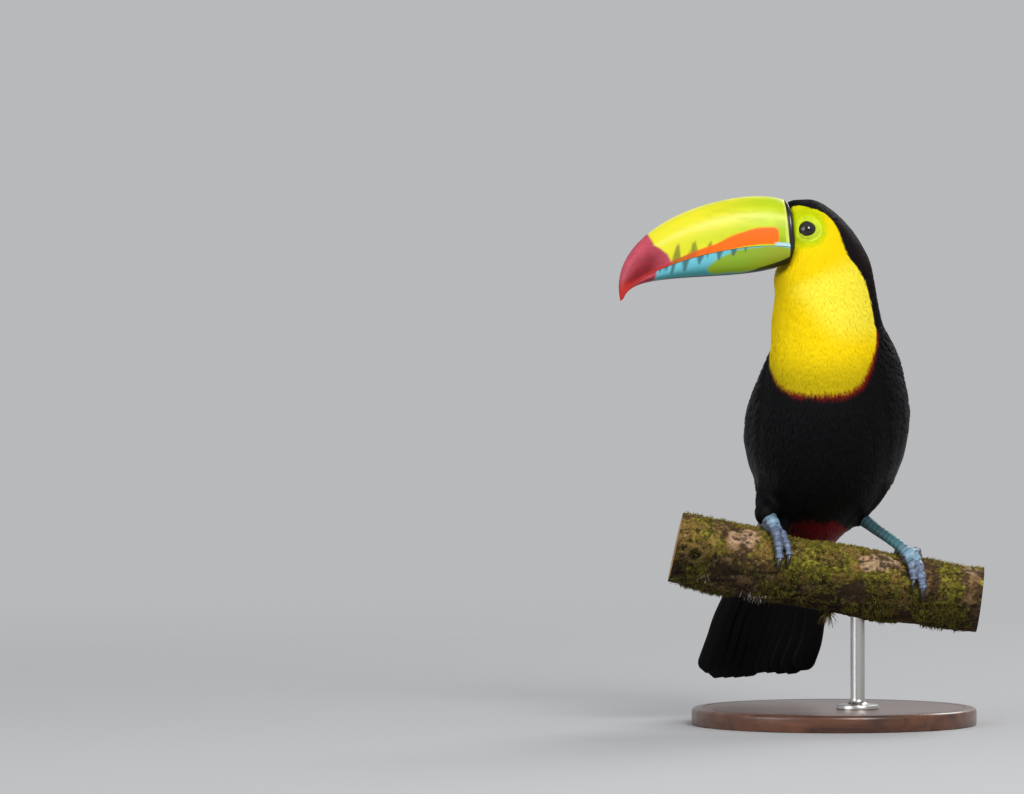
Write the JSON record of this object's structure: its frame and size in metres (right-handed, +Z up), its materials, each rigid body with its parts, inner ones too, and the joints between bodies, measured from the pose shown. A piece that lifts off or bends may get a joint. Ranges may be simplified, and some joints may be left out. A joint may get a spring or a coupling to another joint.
{
  "type": "toucan model",
  "caption": "Keel-billed toucan perched on a cut length of mossy branch, head turned to its right, as a life-size model held by a rod on a round display stand.",
  "frame": {"origin": "on the underside of the stand's base, under the bird and level with the floor", "axes": "+Z up, -Y the way the bird's breast faces, +X to the bird's own left. The bill points to -X and a little to -Y"},
  "size_m": [0.2566, 0.2, 0.3712],
  "materials": {
    "plumage_black": "soft black plumage with a faint gloss",
    "plumage_yellow": "soft yellow plumage",
    "bill_horn": "glossy horn, green to yellow with an orange blaze, pale blue below and a maroon tip",
    "bill_rim": "glossy black horn",
    "eye": "wet, glossy dark brown",
    "foot_skin": "satin blue-grey scaled skin",
    "claw": "dark horn",
    "bark": "rough mossy bark",
    "stand_wood": "dark satin varnished wood",
    "stand_steel": "brushed"
  },
  "bodies": {
    "root": {"bill_upper": "bill_horn", "bill_lower": "bill_horn", "bill_rim": "bill_rim", "head": "plumage_yellow", "neck": "plumage_yellow", "trunk": "plumage_black", "wing_left": "plumage_black", "wing_right": "plumage_black", "tail": "plumage_black", "thigh_left": "plumage_black", "thigh_right": "plumage_black", "shank_left": "foot_skin", "shank_right": "foot_skin", "foot_left": "foot_skin", "foot_right": "foot_skin", "eye_left": "eye", "eye_right": "eye", "perch": "bark", "stand_base": "stand_wood", "stand_rod": "stand_steel", "claw_left_inner_front": "claw", "claw_left_inner_rear": "claw", "claw_left_outer_front": "claw", "claw_left_outer_rear": "claw", "claw_right_inner_front": "claw", "claw_right_inner_rear": "claw", "claw_right_outer_front": "claw", "claw_right_outer_rear": "claw"}
  },
  "joints": []
}
